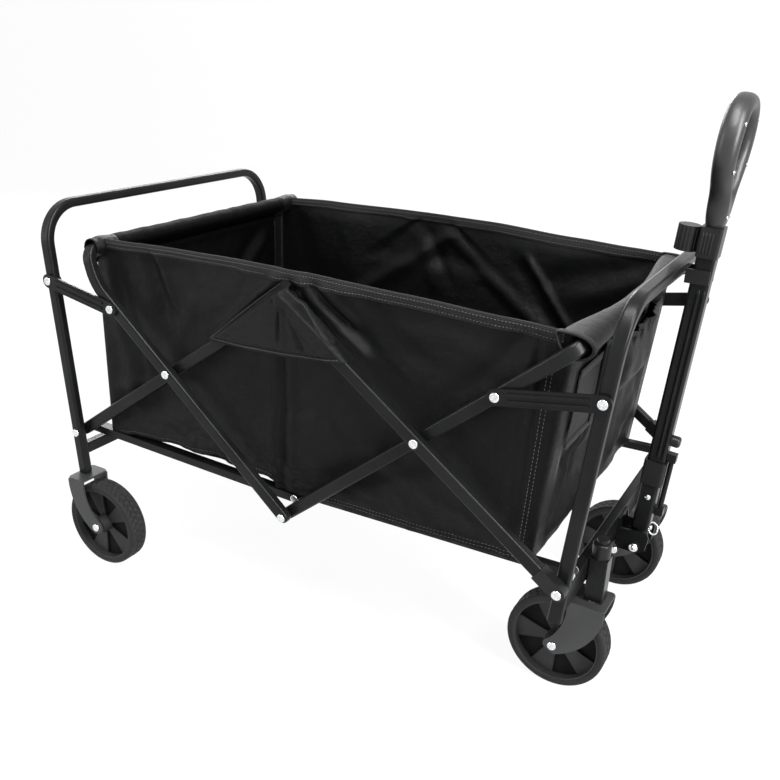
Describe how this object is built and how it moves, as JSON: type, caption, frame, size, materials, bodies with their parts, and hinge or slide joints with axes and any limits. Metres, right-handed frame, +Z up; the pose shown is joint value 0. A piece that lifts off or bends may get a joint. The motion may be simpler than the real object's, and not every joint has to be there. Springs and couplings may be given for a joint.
{
  "type": "folding wagon",
  "caption": "Four-wheel folding wagon: steel scissor frame with a cloth basket, swivel front wheels and a pull handle that swings and slides out.",
  "frame": {"origin": "on the ground under the middle of the wagon's overall length and width", "axes": "+X towards the pull handle at the front, +Y to the wagon's left, +Z up"},
  "size_m": [0.9327, 0.5766, 0.7823],
  "materials": {
    "black_steel": "satin black powder coat",
    "zinc_steel": "bright zinc-plated steel",
    "black_cloth": "woven polyester",
    "tyre": "matt hard rubber",
    "board": "cloth-covered board",
    "grip_plastic": "soft-touch plastic",
    "black_plastic": "satin moulded plastic"
  },
  "bodies": {
    "rear_end": {"rear_frame": "black_steel", "rear_crossbar": "black_steel", "rear_forks": "black_steel", "rear_axles": "zinc_steel", "rear_frame_rivets": "zinc_steel", "rear_wall": "black_cloth", "side_walls": "black_cloth", "side_flaps": "black_cloth", "floor_fabric": "black_cloth"},
    "rear_lower": {"rear_lower_bars": "black_steel", "rear_lower_bar_rivets": "zinc_steel"},
    "rear_upper": {"rear_upper_bars": "black_steel", "rear_upper_bar_rivets": "zinc_steel", "rear_hem": "black_cloth"},
    "front_lower": {"front_lower_bars": "black_steel", "front_lower_bar_caps": "black_plastic", "front_lower_bar_rivets": "zinc_steel"},
    "front_upper": {"front_upper_bars": "black_steel", "front_hem": "black_cloth"},
    "front_end": {"front_frame": "black_steel", "front_crossbar": "black_steel", "front_frame_rivets": "zinc_steel", "caster_housings": "black_steel", "caster_caps": "black_plastic", "handle_bracket": "black_steel", "handle_bolt": "zinc_steel", "handle_clip": "black_steel", "front_wall": "black_cloth", "front_pocket": "black_cloth"},
    "rear_link": {"rear_links": "black_steel", "rear_link_rivets": "zinc_steel"},
    "front_link": {"front_links": "black_steel", "front_link_rivets": "zinc_steel"},
    "rear_arms": {"rear_floor_arms": "black_steel", "rear_floor_arm_rivets": "zinc_steel"},
    "front_arms": {"front_floor_arms": "black_steel"},
    "rear_board": {"rear_floor_board": "board"},
    "front_board": {"front_floor_board": "board"},
    "rear_right_wheel_body": {"rear_right_tyre": "tyre", "rear_right_wheel": "black_plastic"},
    "rear_left_wheel_body": {"rear_left_tyre": "tyre", "rear_left_wheel": "black_plastic"},
    "right_caster": {"right_caster_fork": "black_steel", "right_caster_axle": "zinc_steel", "right_caster_spindle": "zinc_steel"},
    "left_caster": {"left_caster_fork": "black_steel", "left_caster_axle": "zinc_steel", "left_caster_spindle": "zinc_steel"},
    "front_right_wheel_body": {"front_right_tyre": "tyre", "front_right_wheel": "black_plastic"},
    "front_left_wheel_body": {"front_left_tyre": "tyre", "front_left_wheel": "black_plastic"},
    "handle": {"handle_tube": "black_steel", "handle_catch": "black_plastic", "handle_rod": "black_steel", "handle_stop_knob": "black_plastic"},
    "handle_upper": {"handle_inner_tube": "zinc_steel", "handle_collar": "black_plastic", "handle_lock_knob": "black_plastic", "handle_grip": "grip_plastic"}
  },
  "joints": [
    {"name": "fold", "type": "hinge", "parent": "rear_end", "child": "rear_lower", "pos_m": [-0.42701, 0, 0.218], "axis": [0, -1, 0], "range_deg": [0, 40], "deforming": ["side_walls", "side_flaps", "floor_fabric"]},
    {"name": "rear_cross", "type": "hinge", "parent": "rear_lower", "child": "rear_upper", "pos_m": [-0.2258, 0, 0.36243], "axis": [0, -1, 0], "range_deg": [-76.64, 0]},
    {"name": "top_centre", "type": "hinge", "parent": "rear_lower", "child": "front_lower", "pos_m": [-0.02301, 0, 0.508], "axis": [0, -1, 0], "range_deg": [-80.5, 0]},
    {"name": "front_cross", "type": "hinge", "parent": "front_lower", "child": "front_upper", "pos_m": [0.17978, 0, 0.36243], "axis": [0, -1, 0], "range_deg": [0, 76.64]},
    {"name": "front_foot", "type": "hinge", "parent": "front_lower", "child": "front_end", "pos_m": [0.38099, 0, 0.218], "axis": [0, -1, 0], "range_deg": [0, 40.5]},
    {"name": "rear_link_turn", "type": "hinge", "parent": "rear_end", "child": "rear_link", "pos_m": [-0.44801, 0, 0.465], "axis": [0, -1, 0], "range_deg": [0, 81.58]},
    {"name": "front_link_turn", "type": "hinge", "parent": "front_end", "child": "front_link", "pos_m": [0.40199, 0, 0.465], "axis": [0, -1, 0], "range_deg": [-81.58, 0]},
    {"name": "rear_arm_turn", "type": "hinge", "parent": "rear_end", "child": "rear_arms", "pos_m": [-0.42701, 0, 0.218], "axis": [0, -1, 0], "range_deg": [0, 84.5]},
    {"name": "front_arm_turn", "type": "hinge", "parent": "front_end", "child": "front_arms", "pos_m": [0.38099, 0, 0.218], "axis": [0, -1, 0], "range_deg": [-84.5, 0]},
    {"name": "rear_board_turn", "type": "hinge", "parent": "rear_end", "child": "rear_board", "pos_m": [-0.37301, 0, 0.22726], "axis": [0, -1, 0], "range_deg": [0, 88.1]},
    {"name": "front_board_turn", "type": "hinge", "parent": "front_end", "child": "front_board", "pos_m": [0.31999, 0, 0.22709], "axis": [0, -1, 0], "range_deg": [-88.1, 0]},
    {"name": "rear_right_wheel_spin", "type": "hinge", "parent": "rear_end", "child": "rear_right_wheel_body", "pos_m": [-0.37801, -0.2595, 0.07], "axis": [0, 1, 0], "continuous": true},
    {"name": "rear_left_wheel_spin", "type": "hinge", "parent": "rear_end", "child": "rear_left_wheel_body", "pos_m": [-0.37801, 0.2595, 0.07], "axis": [0, 1, 0], "continuous": true},
    {"name": "right_caster_swivel", "type": "hinge", "parent": "front_end", "child": "right_caster", "pos_m": [0.39799, -0.143, 0.147], "axis": [0, 0, 1], "continuous": true},
    {"name": "left_caster_swivel", "type": "hinge", "parent": "front_end", "child": "left_caster", "pos_m": [0.39799, 0.143, 0.147], "axis": [0, 0, 1], "continuous": true},
    {"name": "front_right_wheel_spin", "type": "hinge", "parent": "right_caster", "child": "front_right_wheel_body", "pos_m": [0.35599, -0.143, 0.07], "axis": [0, 1, 0], "continuous": true},
    {"name": "front_left_wheel_spin", "type": "hinge", "parent": "left_caster", "child": "front_left_wheel_body", "pos_m": [0.35599, 0.143, 0.07], "axis": [0, 1, 0], "continuous": true},
    {"name": "handle_swing", "type": "hinge", "parent": "front_end", "child": "handle", "pos_m": [0.41299, 0, 0.167], "axis": [0, 1, 0], "range_deg": [0, 90]},
    {"name": "handle_pull_out", "type": "slide", "parent": "handle", "child": "handle_upper", "axis": [0.0663, 0, 0.9978], "range_m": [0, 0.25]}
  ],
  "couplings": [
    {"joint": "rear_cross", "follows": "fold", "ratio": -1.9035},
    {"joint": "top_centre", "follows": "fold", "ratio": -2},
    {"joint": "front_cross", "follows": "fold", "ratio": 1.9035},
    {"joint": "front_foot", "follows": "fold", "ratio": 1},
    {"joint": "rear_link_turn", "follows": "fold", "ratio": 2.027},
    {"joint": "front_link_turn", "follows": "fold", "ratio": -2.027},
    {"joint": "rear_arm_turn", "follows": "fold", "ratio": 2.1},
    {"joint": "front_arm_turn", "follows": "fold", "ratio": -2.1},
    {"joint": "rear_board_turn", "follows": "fold", "ratio": 2.19},
    {"joint": "front_board_turn", "follows": "fold", "ratio": -2.19}
  ]
}
